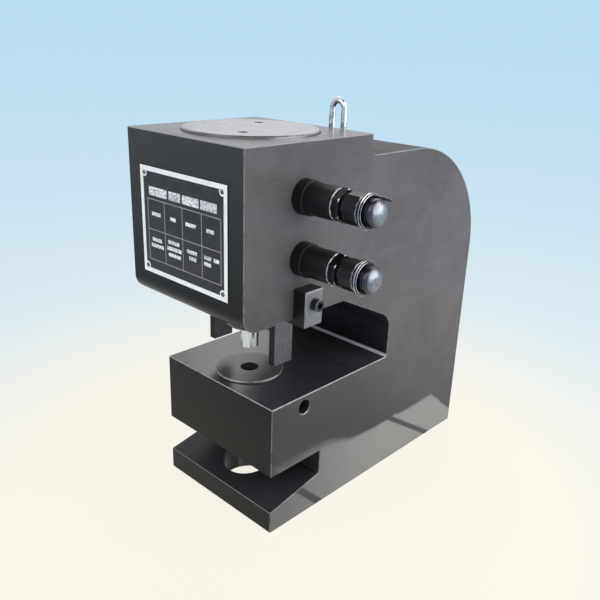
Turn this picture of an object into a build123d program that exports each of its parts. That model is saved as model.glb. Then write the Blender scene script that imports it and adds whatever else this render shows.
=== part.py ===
from build123d import *
import math
import os

os.makedirs("parts", exist_ok=True)

# Hydraulic punching machine: a deep steel block with a throat, a hydraulic cylinder in its head
# and a punch over a die. Millimetres, +Z up. The origin is on the punch axis at the foot's
# underside. The front faces -Y and both hydraulic couplers stand out towards +X.

# Frame block, seen from the side
plate_width = 160.0          # thickness of the block, from side to side
head_front = 80.0            # punch axis to the head's front face
head_back = 80.0             # punch axis to the step behind the head
frame_back = 281.0           # punch axis to the rear face
head_top = 382.0
rear_top = 362.0             # top of the body behind the head
head_underside = 224.0
anvil_top = 139.0
anvil_underside = 65.0
anvil_front = 44.0           # punch axis to the front of the anvil and foot
foot_front_height = 24.0     # foot thickness at its front edge
throat_back = 130.0          # punch axis to the throat's rear wall
throat_slope_start = 51.0    # the head's underside slopes down behind this line
throat_slope_drop = 38.0     # how far it drops to the rear wall
slug_slot_depth = 70.0       # slot under the anvil, front to back
slug_ramp_rise = 14.0        # the slot's floor rises to the back by this much
rear_corner_radius = 123.0
head_chin_radius = 16.0
step_radius = 8.0
throat_radius = 20.0
throat_floor_radius = 4.0
slug_slot_radius = 3.0
edge_chamfer = 0.8
foot_hole_diameter = 56.0    # round hole through the foot, under the die

# Cylinder in the head
bore_diameter = 100.0
stroke = 28.0
piston_length = 30.0
piston_chamfer = 6.0
end_gap = 2.0                # oil space left at each end of the piston's travel
rod_diameter = 50.0
passage_diameter = 5.0       # drilled oil passage from a port to the bore
running_gap = 0.05           # radial clearance of sliding and turning fits
seat_gap = 0.05              # radial clearance of fixed fits

# Lid
lid_proud = 2.5              # the lid stands above the head's top by this much
lid_rim_diameter = 127.0
lid_rim_depth = 5.5          # depth of the recess for the lid's rim
lid_groove = 0.6             # width of the dark groove round the rim
lid_plug_diameter = 116.0
lid_plug_end = 346.0         # height of the thread's lower end
lid_pin_hole_diameter = 9.0
lid_pin_hole_depth = 6.0
lid_pin_circle_radius = 38.8
lid_pin_angle = -53.0        # first pin hole, seen from above

# Rod gland, screwed in from below
gland_diameter = 64.0
gland_length = 30.0
rod_seal_height = 6.0
rod_seal_width = 5.0
wiper_height = 5.0
wiper_width = 4.0
ring_section = 3.0           # cord of the sealing rings
piston_seal_height = 6.0
guide_ring_height = 5.0
piston_ring_depth = 4.0

# Punch, its nut and the die
nut_diameter = 47.0
nut_height = 28.0
nut_below_head = 33.0        # head's underside to the nut's lower face
nut_lip = 4.0                # lower lip that holds the punch's head
nut_thread_diameter = 38.0
nut_spanner_hole = 5.0
nut_spanner_depth = 4.0
nut_chamfer = 1.0
punch_diameter = 18.0
punch_head_diameter = 30.0
punch_head_height = 6.0
punch_tip_gap = 25.0         # punch tip to the die's top face at rest
die_clearance = 0.5          # radial clearance between punch and die hole
die_diameter = 70.0
die_height = 28.0
die_proud = 2.0              # the die stands above the anvil by this much
die_rim_chamfer = 1.2
die_land = 8.0               # straight part of the die hole
die_relief = 1.5             # how much wider the hole is at its lower end
die_groove_depth = 2.0
slug_bore_diameter = 28.0    # bore through the anvil below the die
set_screw_diameter = 15.0
set_screw_length = 22.0
set_screw_socket = 8.0       # across flats
set_screw_below_anvil = 12.6
set_screw_mouth = 0.8

# Strippers
stripper_front = 20.5        # punch axis to the front of block and arm
stripper_block_width = 23.0
stripper_block_height = 34.0
stripper_block_thickness = 15.0
stripper_arm_thickness = 4.5
stripper_leg_thickness = 7.5
stripper_leg_width = 24.0
stripper_leg_reach = 48.5    # punch axis to a leg's outer face
stripper_leg_length = 57.5
stripper_edge = 1.0
stripper_screw_diameter = 7.0
stripper_screw_head = 11.5
stripper_screw_head_height = 7.0
stripper_screw_socket = 5.5
stripper_screw_length = 30.0
stripper_screw_height = 16.5   # screw axis above the head's underside

# Hydraulic couplers, sizes along each axis counted from the frame's side face
coupler_forward = 11.0       # punch axis to the couplers' axes
upper_port_height = 335.5
lower_port_height = 280.0
port_diameter = 26.0
port_depth = 16.0
port_washer_diameter = 31.6
port_washer_thickness = 1.5
adapter_collar_diameter = 31.0
adapter_collar_length = 9.5
adapter_barrel_diameter = 28.4
adapter_barrel_length = 27.3
adapter_thread_diameter = 20.0
adapter_thread_depth = 14.0
lock_ring_diameter = 29.2
lock_ring_width = 3.5
hex_across_flats = 26.0
hex_length = 7.2
coupler_neck_diameter = 23.0
coupler_neck_length = 3.6
coupler_nose_diameter = 21.0
sleeve_length = 14.7
sleeve_across_flats = 26.8
sleeve_flats = 12
sleeve_side_gap = 0.1
clip_width = 1.2
clip_diameter = 24.0
clip_groove_depth = 1.0
nose_lip = 0.7               # nose left standing beyond the clip
mouth_diameter = 16.0
mouth_depth = 13.5
flow_diameter = 8.0
poppet_chamber_diameter = 14.0
poppet_face_diameter = 10.0
poppet_length = 7.0
poppet_lip = 1.5             # inner lip of the coupler that holds the poppet
poppet_skirt = 1.5
poppet_travel = 4.0
spring_wire = 1.4
spring_turns = 6
cap_flange_diameter = 30.6
cap_flange_width = 2.0
cap_shoulder_diameter = 28.0
cap_shoulder_width = 1.2
cap_neck_diameter = 23.4
cap_neck_length = 5.3
cap_groove_width = 0.9
cap_groove_depth = 0.7
cap_dome_height = 5.3
cap_plug_length = 12.0
cap_front_gap = 0.3          # gap between the cap's flange and the nose
loop_wire = 1.4
loop_width = 5.4
loop_offset = 13.0           # cap axis to the wire loop
LOOPS = {"upper": (58.0, 14.3), "lower": (-45.0, 7.3)}   # place round the cap and length

# Lifting eye, nameplate
eye_x = 39.0
eye_to_step = 4.5            # its plane to the step behind the head
eye_bar = 6.0
eye_span = 14.7              # between the two legs' axes
eye_height = 29.5            # above the head's top
eye_leg_depth = 10.0
plate_label_width = 122.0
plate_label_height = 101.0
plate_label_bottom = 249.5
plate_label_thickness = 1.0
rivet_diameter = 3.0
rivet_head_diameter = 4.6
rivet_head_height = 1.0
rivet_length = 6.0
rivet_inset = 6.5

# Derived heights and places
bore_radius = bore_diameter / 2
rod_radius = rod_diameter / 2
side = plate_width / 2
passage_margin = passage_diameter / 2
chamber_top = upper_port_height + passage_margin
chamber_floor = chamber_top - piston_length - stroke - 2 * end_gap
piston_top = chamber_top - end_gap
piston_bottom = piston_top - piston_length
lid_top = head_top + lid_proud
lid_rim_bottom = head_top - lid_rim_depth
gland_top = head_underside + gland_length
nut_bottom = head_underside - nut_below_head
nut_top = nut_bottom + nut_height
die_top = anvil_top + die_proud
die_bottom = die_top - die_height
punch_tip = die_top + punch_tip_gap
punch_head_bottom = nut_bottom + nut_lip
rod_end = punch_head_bottom + punch_head_height
slug_end = slug_slot_depth - anvil_front
set_screw_height = anvil_top - set_screw_below_anvil
stripper_bottom = head_underside - stripper_arm_thickness
eye_y = head_back - eye_to_step
PORTS = {"upper": upper_port_height, "lower": lower_port_height}


def ring(outer, inner, bottom, top):
    """Plain ring or tube on the Z axis; no hole where inner is zero."""
    body = Pos(0, 0, (bottom + top) / 2) * Cylinder(outer, top - bottom)
    if inner > 0:
        body -= Pos(0, 0, (bottom + top) / 2) * Cylinder(inner, top - bottom)
    return body


def turned(profile):
    """Solid of revolution about Z from closed (radius, height) corners."""
    outline = Polyline(*[(r, 0, h) for r, h in profile], close=True)
    return revolve(make_face(outline), Axis.Z)


def prism(across_flats, sides, bottom, top):
    """Regular prism on the Z axis, by its size across flats."""
    radius = across_flats / 2 / math.cos(math.pi / sides)
    return Pos(0, 0, bottom) * extrude(RegularPolygon(radius, sides), top - bottom)


def along_x(body, y, z):
    """Turns a body made on +Z to +X, standing out of the frame's right side face."""
    return Pos(side, y, z) * Rot(0, 90, 0) * body


def frame_outline():
    """Side view of the block in Y and Z, with each corner's radius."""
    foot_back_height = foot_front_height + slug_ramp_rise
    corners = [
        (-anvil_front, 0, 0),
        (frame_back, 0, 0),
        (frame_back, rear_top, rear_corner_radius),
        (head_back, rear_top, step_radius),
        (head_back, head_top, 0),
        (-head_front, head_top, 0),
        (-head_front, head_underside, head_chin_radius),
        (throat_slope_start, head_underside, throat_floor_radius),
        (throat_back, head_underside - throat_slope_drop, throat_radius),
        (throat_back, anvil_top, throat_floor_radius),
        (-anvil_front, anvil_top, 0),
        (-anvil_front, anvil_underside, 0),
        (slug_end, anvil_underside, 0),
        (slug_end, foot_back_height, slug_slot_radius),
        (-anvil_front, foot_front_height, 0),
    ]
    points = [(0, y, z) for y, z, radius in corners]
    return make_face(FilletPolyline(*points, radius=[radius for y, z, radius in corners], close=True))


def broken_edges(block):
    """The block's outer edges that are filed: both side outlines and the sharp front edges."""
    picked = block.edges().filter_by_position(Axis.X, side, side)
    picked += block.edges().filter_by_position(Axis.X, -side, -side)
    sharp = [
        (-anvil_front, 0), (frame_back, 0), (head_back, head_top), (-head_front, head_top),
        (-anvil_front, anvil_top), (-anvil_front, anvil_underside), (-anvil_front, foot_front_height),
    ]
    for edge in block.edges().filter_by(Axis.X):
        middle = edge.center()
        if any(abs(middle.Y - y) < 0.01 and abs(middle.Z - z) < 0.01 for y, z in sharp):
            picked.append(edge)
    return picked


def frame_block():
    block = extrude(frame_outline(), side, both=True)
    block = chamfer(broken_edges(block), edge_chamfer)
    # Cylinder: bore, thread for the lid, recess for its rim, bore for the gland below
    block -= ring(bore_radius, 0, chamber_floor, lid_plug_end + 1)
    block -= ring(lid_plug_diameter / 2 + seat_gap, 0, lid_plug_end, head_top + 1)
    block -= ring(lid_rim_diameter / 2 + lid_groove, 0, lid_rim_bottom, head_top + 1)
    block -= ring(rod_radius + running_gap * 4, 0, gland_top, chamber_floor + 1)
    block -= ring(gland_diameter / 2 + seat_gap, 0, head_underside - 1, gland_top + rod_seal_height)
    # Anvil: die pocket, slug bore and the set screw's hole; round hole in the foot
    block -= ring(die_diameter / 2 + seat_gap, 0, die_bottom, anvil_top + 1)
    block -= ring(slug_bore_diameter / 2, 0, anvil_underside - 1, die_bottom + 1)
    block -= ring(foot_hole_diameter / 2, 0, -1, foot_front_height + slug_ramp_rise + slug_slot_radius)
    screw_hole = Cone(
        set_screw_diameter / 2, set_screw_diameter / 2 + set_screw_mouth, set_screw_mouth,
        align=(Align.CENTER, Align.CENTER, Align.MAX),
    )
    screw_hole += ring(set_screw_diameter / 2, 0, -side, 0)
    block -= along_x(screw_hole, 0, set_screw_height)
    # Ports in the right side face, each with its drilled passage to the bore
    for height in PORTS.values():
        port = ring(port_diameter / 2 + seat_gap, 0, -port_depth, 1)
        port += ring(passage_diameter / 2, 0, -side / 2 - port_depth, -port_depth + 1)
        block -= along_x(port, -coupler_forward, height)
    # Seats of the stripper screws, the rivets and the lifting eye
    screw_seat = ring(stripper_screw_diameter / 2 + seat_gap, 0, -stripper_screw_depth(), 1)
    for turn in (0, 180):
        hole = Pos(side, 0, 0) * Rot(0, 90, 0) * screw_seat
        place = Pos(0, stripper_screw_y(), head_underside + stripper_screw_height)
        block -= place * Rot(0, 0, turn) * hole
    for x, z in rivet_places():
        hole = ring(rivet_diameter / 2 + seat_gap, 0, -1, rivet_length - plate_label_thickness)
        block -= Pos(x, -head_front, z) * Rot(-90, 0, 0) * hole
    for x in eye_legs():
        block -= Pos(x, eye_y, 0) * ring(eye_bar / 2 + seat_gap, 0, head_top - eye_leg_depth, head_top + 1)
    return block


def cylinder_lid():
    rim = lid_rim_diameter / 2
    plug = lid_plug_diameter / 2
    spigot = bore_radius - running_gap
    groove = spigot - ring_section
    middle = (chamber_top + lid_plug_end) / 2
    half = ring_section / 2 + seat_gap
    lid = turned([
        (0, chamber_top), (spigot, chamber_top), (spigot, middle - half), (groove, middle - half),
        (groove, middle + half), (spigot, middle + half), (spigot, lid_plug_end),
        (plug, lid_plug_end), (plug, lid_rim_bottom), (rim, lid_rim_bottom),
        (rim, lid_top - 1), (rim - 1, lid_top), (0, lid_top),
    ])
    for turn in (0, 180):
        angle = math.radians(lid_pin_angle + turn)
        x = lid_pin_circle_radius * math.cos(angle)
        y = lid_pin_circle_radius * math.sin(angle)
        lid -= Pos(x, y, 0) * ring(lid_pin_hole_diameter / 2, 0, lid_top - lid_pin_hole_depth, lid_top + 1)
    return lid


def lid_seal():
    middle = (chamber_top + lid_plug_end) / 2
    half = ring_section / 2
    return ring(bore_radius, bore_radius - ring_section - running_gap, middle - half, middle + half)


def piston_grooves():
    """Heights of the seal groove and the guide ring's groove, each bottom and top."""
    land = piston_length - 2 * piston_chamfer
    spare = (land - piston_seal_height - guide_ring_height) / 3
    guide_bottom = piston_bottom + piston_chamfer + spare
    seal_bottom = guide_bottom + guide_ring_height + spare
    return (seal_bottom, seal_bottom + piston_seal_height), (guide_bottom, guide_bottom + guide_ring_height)


def piston_rod():
    """Piston and rod in one turned piece, with the threaded end for the punch nut."""
    wall = bore_radius - running_gap
    body = turned([
        (0, rod_end), (nut_thread_diameter / 2, rod_end), (nut_thread_diameter / 2, nut_top + 0.5),
        (rod_radius - 1, nut_top + 0.5), (rod_radius, nut_top + 1.5),
        (rod_radius, piston_bottom), (wall - piston_chamfer, piston_bottom),
        (wall, piston_bottom + piston_chamfer), (wall, piston_top - piston_chamfer),
        (wall - piston_chamfer, piston_top), (0, piston_top),
    ])
    for bottom, top in piston_grooves():
        body -= ring(wall + 1, wall - piston_ring_depth, bottom - seat_gap, top + seat_gap)
    return body


def piston_ring(heights):
    """Seal or guide ring in its groove of the piston, clear of the bore by the running gap."""
    outer = bore_radius - running_gap
    return ring(outer, outer - piston_ring_depth, heights[0], heights[1])


def rod_gland():
    """Guide bush screwed in round the rod, with the wiper's recess below and a ring groove outside."""
    outer = gland_diameter / 2
    inner = rod_radius + running_gap
    middle = (head_underside + gland_top) / 2
    half = ring_section / 2 + seat_gap
    recess = inner + wiper_width
    return turned([
        (recess, head_underside), (outer, head_underside), (outer, middle - half),
        (outer - ring_section, middle - half), (outer - ring_section, middle + half),
        (outer, middle + half), (outer, gland_top), (inner, gland_top),
        (inner, head_underside + wiper_height), (recess, head_underside + wiper_height),
    ])


def gland_seal():
    middle = (head_underside + gland_top) / 2
    outer = gland_diameter / 2
    half = ring_section / 2
    return ring(outer + seat_gap, outer - ring_section, middle - half, middle + half)


def rod_seal():
    inner = rod_radius + running_gap
    top = gland_top + rod_seal_height
    return ring(inner + rod_seal_width, inner, gland_top, top)


def rod_wiper():
    inner = rod_radius + running_gap
    return ring(inner + wiper_width, inner, head_underside, head_underside + wiper_height)


def punch_nut():
    outer = nut_diameter / 2
    thread = nut_thread_diameter / 2 + seat_gap
    head_bore = punch_head_diameter / 2 + seat_gap
    lip_bore = punch_diameter / 2 + 0.5
    nut = turned([
        (lip_bore, nut_bottom), (outer - nut_chamfer, nut_bottom), (outer, nut_bottom + nut_chamfer),
        (outer, nut_top - nut_chamfer), (outer - nut_chamfer, nut_top), (thread, nut_top),
        (thread, rod_end), (head_bore, rod_end), (head_bore, punch_head_bottom),
        (lip_bore, punch_head_bottom),
    ])
    hole = Pos(outer - nut_spanner_depth, 0, 0) * Rot(0, 90, 0) * ring(nut_spanner_hole / 2, 0, 0, outer)
    for turn in range(0, 360, 90):
        nut -= Pos(0, 0, nut_bottom + nut_lip + nut_spanner_hole / 2) * Rot(0, 0, turn) * hole
    return nut


def punch():
    shank = punch_diameter / 2
    head = punch_head_diameter / 2
    return turned([
        (0, punch_tip), (shank - 0.3, punch_tip), (shank, punch_tip + 0.3), (shank, punch_head_bottom),
        (head, punch_head_bottom), (head, rod_end), (0, rod_end),
    ])


def die():
    """Turned die with a rim chamfer, a clamp groove, a straight land and a relieved hole below it."""
    outer = die_diameter / 2
    hole = punch_diameter / 2 + die_clearance
    half = set_screw_socket / 2
    return turned([
        (hole, die_top), (outer - die_rim_chamfer, die_top), (outer, die_top - die_rim_chamfer),
        (outer, set_screw_height + half + die_groove_depth),
        (outer - die_groove_depth, set_screw_height + half),
        (outer - die_groove_depth, set_screw_height - half),
        (outer, set_screw_height - half - die_groove_depth), (outer, die_bottom),
        (hole + die_relief, die_bottom), (hole, die_top - die_land),
    ])


def die_set_screw():
    """Grub screw with a cone point in the die's groove and a hexagon socket towards the side face."""
    tip = side - die_diameter / 2 + die_groove_depth
    radius = set_screw_diameter / 2 - seat_gap
    point = set_screw_socket / 2
    cone_end = -tip + die_groove_depth + radius - point
    end = -tip + set_screw_length
    screw = turned([
        (0, -tip), (point - seat_gap, -tip), (radius, cone_end), (radius, end), (0, end),
    ])
    screw -= prism(set_screw_socket, 6, end - set_screw_length / 3, end + 1)
    return along_x(screw, 0, set_screw_height)


def stripper_screw_y():
    """Both stripper screws stand on the middle of the strippers' blocks."""
    return stripper_block_width / 2 - stripper_front


def stripper_screw_depth():
    """How deep a stripper screw reaches into the frame's side."""
    return stripper_screw_length - stripper_block_thickness


def stripper():
    """Right stripper: block on the side face, arm under the head, leg beside the punch."""
    outer = side + stripper_block_thickness
    inner = stripper_leg_reach - stripper_leg_thickness
    leg_back = stripper_leg_width / 2
    top = stripper_bottom + stripper_block_height
    block = Pos((side + outer) / 2, stripper_screw_y(), (stripper_bottom + top) / 2) * Box(
        stripper_block_thickness, stripper_block_width, stripper_block_height)
    block = chamfer(block.edges().group_by(Axis.X)[-1], stripper_edge)
    arm_depth = stripper_front + leg_back
    arm = Pos((inner + side) / 2, leg_back - arm_depth / 2, head_underside - stripper_arm_thickness / 2) * Box(
        side - inner, arm_depth, stripper_arm_thickness)
    arm_root = Pos((side + outer) / 2 - stripper_edge / 2, stripper_screw_y(), stripper_bottom) * Box(
        stripper_block_thickness - stripper_edge, stripper_block_width - 2 * stripper_edge,
        stripper_arm_thickness, align=(Align.CENTER, Align.CENTER, Align.MIN))
    leg = Pos((inner + stripper_leg_reach) / 2, 0, stripper_bottom - stripper_leg_length / 2) * Box(
        stripper_leg_thickness, stripper_leg_width, stripper_leg_length)
    leg = chamfer(leg.edges().group_by(Axis.Z)[0], stripper_edge / 2)
    body = block + arm + arm_root + leg
    screw_hole = Pos(side, 0, 0) * Rot(0, 90, 0) * ring(
        stripper_screw_diameter / 2 + 0.3, 0, -1, stripper_block_thickness + 1)
    return body - Pos(0, stripper_screw_y(), head_underside + stripper_screw_height) * screw_hole


def stripper_screws():
    """Two socket cap screws, one on each side."""
    head = stripper_screw_head / 2
    shank = stripper_screw_diameter / 2
    seat = stripper_block_thickness
    top = seat + stripper_screw_head_height
    screw = turned([
        (0, seat - stripper_screw_length), (shank, seat - stripper_screw_length), (shank, seat),
        (head, seat), (head, top - 0.6), (head - 0.6, top), (0, top),
    ])
    screw -= prism(stripper_screw_socket, 6, top - stripper_screw_head_height / 2, top + 1)
    placed = []
    for turn in (0, 180):
        at_side = Pos(side, 0, 0) * Rot(0, 90, 0) * screw
        place = Pos(0, stripper_screw_y(), head_underside + stripper_screw_height)
        placed.append(place * Rot(0, 0, turn) * at_side)
    return Compound(children=placed)


# Lengths along a coupler's axis, from the frame's side face outwards
collar_end = port_washer_thickness + adapter_collar_length
barrel_end = collar_end + adapter_barrel_length
lock_end = barrel_end + lock_ring_width
hex_end = lock_end + hex_length
neck_end = hex_end + coupler_neck_length
sleeve_end = neck_end + sleeve_length
clip_start = sleeve_end + sleeve_side_gap
nose_end = clip_start + clip_width + seat_gap + nose_lip
mouth_floor = nose_end - mouth_depth
stub_start = barrel_end - adapter_thread_depth
cap_start = nose_end + cap_front_gap
flange_end = cap_start + cap_flange_width
shoulder_end = flange_end + cap_shoulder_width
cap_neck_end = shoulder_end + cap_neck_length
cap_plug_start = nose_end - cap_plug_length


def port_adapter():
    """Stand-off screwed into the port, with a collar, a barrel and a threaded socket at its end."""
    thread = port_diameter / 2
    socket = adapter_thread_diameter / 2 + seat_gap
    collar = adapter_collar_diameter / 2
    barrel = adapter_barrel_diameter / 2
    return turned([
        (flow_diameter / 2, -port_depth), (thread - 1, -port_depth), (thread, -port_depth + 1),
        (thread, port_washer_thickness), (collar, port_washer_thickness), (collar, collar_end - 0.8),
        (collar - 0.8, collar_end), (barrel, collar_end), (barrel, barrel_end - 0.6),
        (barrel - 0.6, barrel_end), (socket, barrel_end), (socket, stub_start),
        (flow_diameter / 2, stub_start),
    ])


def port_washer():
    return ring(port_washer_diameter / 2, port_diameter / 2 + seat_gap, 0, port_washer_thickness)


def lock_ring():
    outer = lock_ring_diameter / 2
    inner = adapter_thread_diameter / 2 + seat_gap
    return turned([
        (inner, barrel_end), (outer - 0.8, barrel_end), (outer, barrel_end + 0.8),
        (outer, lock_end - 0.8), (outer - 0.8, lock_end), (inner, lock_end),
    ])


def coupler_body():
    """Turned body with a hexagon, a neck and a nose; bored for the poppet and for the cap's plug."""
    stub = adapter_thread_diameter / 2
    neck = coupler_neck_diameter / 2
    nose = coupler_nose_diameter / 2
    groove = nose - clip_groove_depth
    mouth = mouth_diameter / 2
    chamber = poppet_chamber_diameter / 2
    lip = poppet_face_diameter / 2 + running_gap
    body = turned([
        (chamber, stub_start), (stub, stub_start), (stub, lock_end), (neck, lock_end), (neck, neck_end),
        (nose, neck_end), (nose, clip_start), (groove, clip_start),
        (groove, clip_start + clip_width + seat_gap), (nose, clip_start + clip_width + seat_gap),
        (nose, nose_end), (mouth, nose_end), (mouth, mouth_floor), (lip, mouth_floor),
        (lip, mouth_floor - poppet_lip), (chamber, mouth_floor - poppet_lip),
    ])
    hexagon = prism(hex_across_flats, 6, lock_end, hex_end)
    tip = hex_across_flats / 2 / math.cos(math.pi / 6)
    bevel = turned([
        (0, lock_end), (tip - 1, lock_end), (tip, lock_end + 0.6), (tip, hex_end - 0.6),
        (tip - 1, hex_end), (0, hex_end),
    ])
    return body + (hexagon & bevel) - ring(chamber, 0, lock_end - 1, hex_end + 1)


def coupler_sleeve():
    """Faceted collar that turns on the nose between the neck and the clip."""
    start = neck_end + sleeve_side_gap
    inner = coupler_nose_diameter / 2 + running_gap
    tip = sleeve_across_flats / 2 / math.cos(math.pi / sleeve_flats)
    bevel = turned([
        (inner, start), (tip - 1, start), (tip, start + 1), (tip, sleeve_end - 1),
        (tip - 1, sleeve_end), (inner, sleeve_end),
    ])
    return prism(sleeve_across_flats, sleeve_flats, start, sleeve_end) & bevel


def sleeve_clip():
    inner = coupler_nose_diameter / 2 - clip_groove_depth
    return ring(clip_diameter / 2, inner, clip_start, clip_start + clip_width)


def valve_poppet():
    """Flat-faced poppet whose hollow back takes the spring."""
    outer = poppet_chamber_diameter / 2 - running_gap
    inner = outer - poppet_skirt
    face = poppet_face_diameter / 2
    shoulder = mouth_floor - poppet_lip - sleeve_side_gap
    start = mouth_floor - poppet_length
    return turned([
        (0, mouth_floor), (face, mouth_floor), (face, shoulder), (outer, shoulder), (outer, start),
        (inner, start), (inner, shoulder - poppet_skirt), (0, shoulder - poppet_skirt),
    ])


def poppet_spring():
    """Spring drawn as short as it is when the valve is open, seated in the poppet's back."""
    radius = poppet_chamber_diameter / 2 - poppet_skirt - spring_wire / 2 - 0.3
    end = mouth_floor - poppet_lip - sleeve_side_gap - poppet_skirt - spring_wire / 2 - seat_gap
    height = end - spring_wire / 2 - stub_start - poppet_travel - 2 * seat_gap
    path = Helix(pitch=height / spring_turns, height=height, radius=radius)
    section = Plane(origin=path @ 0, z_dir=path % 0) * Circle(spring_wire / 2)
    coil = sweep(section, path=path)
    return Pos(0, 0, end - height) * coil


def dust_cap():
    """Push-in cap: plug in the coupler's mouth, flange, shoulder, grooved neck and low dome."""
    plug = mouth_diameter / 2 - running_gap
    flange = cap_flange_diameter / 2
    shoulder = cap_shoulder_diameter / 2
    neck = cap_neck_diameter / 2
    ring_floor = plug - 1
    ring_middle = (cap_plug_start + nose_end) / 2
    half = 1 + seat_gap
    profile = [
        (0, cap_plug_start), (plug, cap_plug_start), (plug, ring_middle - half),
        (ring_floor, ring_middle - half), (ring_floor, ring_middle + half), (plug, ring_middle + half),
        (plug, cap_start), (flange - 0.6, cap_start), (flange, cap_start + 0.6),
        (flange, flange_end - 0.6), (flange - 0.6, flange_end), (shoulder, flange_end),
        (shoulder, shoulder_end - 0.4), (shoulder - 0.4, shoulder_end), (neck, shoulder_end),
    ]
    step = cap_neck_length / 3
    for index in (1, 2):
        low = shoulder_end + index * step - cap_groove_width / 2
        profile += [
            (neck, low), (neck - cap_groove_depth, low),
            (neck - cap_groove_depth, low + cap_groove_width), (neck, low + cap_groove_width),
        ]
    profile += [(neck, cap_neck_end), (0, cap_neck_end)]
    dome = EllipticalCenterArc((0, 0), neck, cap_dome_height, start_angle=0, arc_size=90)
    sides = [Line((0, 0), (neck, 0)), dome, Line((0, cap_dome_height), (0, 0))]
    crown = revolve(Plane.XZ * make_face(sides), Axis.Z)
    return turned(profile) + Pos(0, 0, cap_neck_end) * crown


def cap_seal():
    plug = mouth_diameter / 2 - running_gap
    ring_middle = (cap_plug_start + nose_end) / 2
    return ring(plug, plug - 1, ring_middle - 1, ring_middle + 1)


def cap_loop(angle, length):
    """Narrow wire loop that stands out of the cap's shoulder beside the dome, at an angle round the cap."""
    half = (loop_width - loop_wire) / 2
    straight = length - loop_width / 2
    path = Polyline((-half, 0, 0), (-half, 0, straight)) + ThreePointArc(
        (-half, 0, straight), (0, 0, straight + half), (half, 0, straight)) + Polyline(
        (half, 0, straight), (half, 0, 0))
    section = Plane(origin=(-half, 0, 0), z_dir=(0, 0, 1)) * Circle(loop_wire / 2)
    loop = sweep(section, path=path)
    return Rot(0, 0, angle) * Pos(0, loop_offset, shoulder_end) * loop


def eye_legs():
    """X of the lifting eye's two legs."""
    return (eye_x - eye_span / 2, eye_x + eye_span / 2)


def lifting_eye():
    """Round bar bent to a bow, both legs set into the head's top."""
    left, right = eye_legs()
    shoulder = head_top + eye_height - eye_bar / 2 - eye_span / 2
    low = head_top - eye_leg_depth
    path = Polyline((left, eye_y, low), (left, eye_y, shoulder)) + ThreePointArc(
        (left, eye_y, shoulder), (eye_x, eye_y, shoulder + eye_span / 2), (right, eye_y, shoulder)) + Polyline(
        (right, eye_y, shoulder), (right, eye_y, low))
    section = Plane(origin=(left, eye_y, low), z_dir=(0, 0, 1)) * Circle(eye_bar / 2)
    return sweep(section, path=path)


def rivet_places():
    """X and Z of the nameplate's four rivets."""
    middle = plate_label_bottom + plate_label_height / 2
    reach_x = plate_label_width / 2 - rivet_inset
    reach_z = plate_label_height / 2 - rivet_inset
    return [(sx * reach_x, middle + sz * reach_z) for sx in (-1, 1) for sz in (-1, 1)]


def nameplate():
    middle = plate_label_bottom + plate_label_height / 2
    plate = Pos(0, -head_front - plate_label_thickness / 2, middle) * Box(
        plate_label_width, plate_label_thickness, plate_label_height)
    for x, z in rivet_places():
        hole = ring(rivet_diameter / 2 + seat_gap, 0, -2, 2)
        plate -= Pos(x, -head_front, z) * Rot(-90, 0, 0) * hole
    return plate


def nameplate_rivets():
    """Four domed rivets through the plate's corners."""
    head = rivet_head_diameter / 2
    shank = rivet_diameter / 2
    base = -plate_label_thickness
    rise = rivet_head_height
    rivet = turned([
        (0, base - rise), (head * 0.5, base - rise * 0.85), (head * 0.85, base - rise * 0.45),
        (head, base), (shank, base), (shank, base + rivet_length), (0, base + rivet_length),
    ])
    return Compound(children=[
        Pos(x, -head_front, z) * Rot(-90, 0, 0) * rivet for x, z in rivet_places()
    ])


def save(name, body):
    export_step(body, "parts/" + name + ".step")


def save_coupler(which, height):
    """One coupler with all its pieces, on its own port."""
    pieces = {
        "port_washer": port_washer(), "port_adapter": port_adapter(), "lock_ring": lock_ring(),
        "coupler_body": coupler_body(), "coupler_sleeve": coupler_sleeve(), "sleeve_clip": sleeve_clip(),
        "valve_poppet": valve_poppet(), "poppet_spring": poppet_spring(), "dust_cap": dust_cap(),
        "cap_seal": cap_seal(), "cap_loop": cap_loop(*LOOPS[which]),
    }
    for name, body in pieces.items():
        save(which + "_" + name, along_x(body, -coupler_forward, height))


save("frame_block", frame_block())
save("cylinder_lid", cylinder_lid())
save("lid_seal", lid_seal())
save("piston_rod", piston_rod())
seal_groove, guide_groove = piston_grooves()
save("piston_seal", piston_ring(seal_groove))
save("piston_guide_ring", piston_ring(guide_groove))
save("rod_gland", rod_gland())
save("gland_seal", gland_seal())
save("rod_seal", rod_seal())
save("rod_wiper", rod_wiper())
save("punch_nut", punch_nut())
save("punch", punch())
save("die", die())
save("die_set_screw", die_set_screw())
save("stripper_right", stripper())
save("stripper_left", mirror(stripper(), Plane.YZ))
save("stripper_screws", stripper_screws())
save("lifting_eye", lifting_eye())
save("nameplate", nameplate())
save("nameplate_rivets", nameplate_rivets())
for which, height in PORTS.items():
    save_coupler(which, height)
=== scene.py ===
"""Looks of a hydraulic punching machine: its finishes, printed nameplate, floor, lamps and camera."""
import math

import bmesh
import bpy
from mathutils import Matrix, Vector


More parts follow.
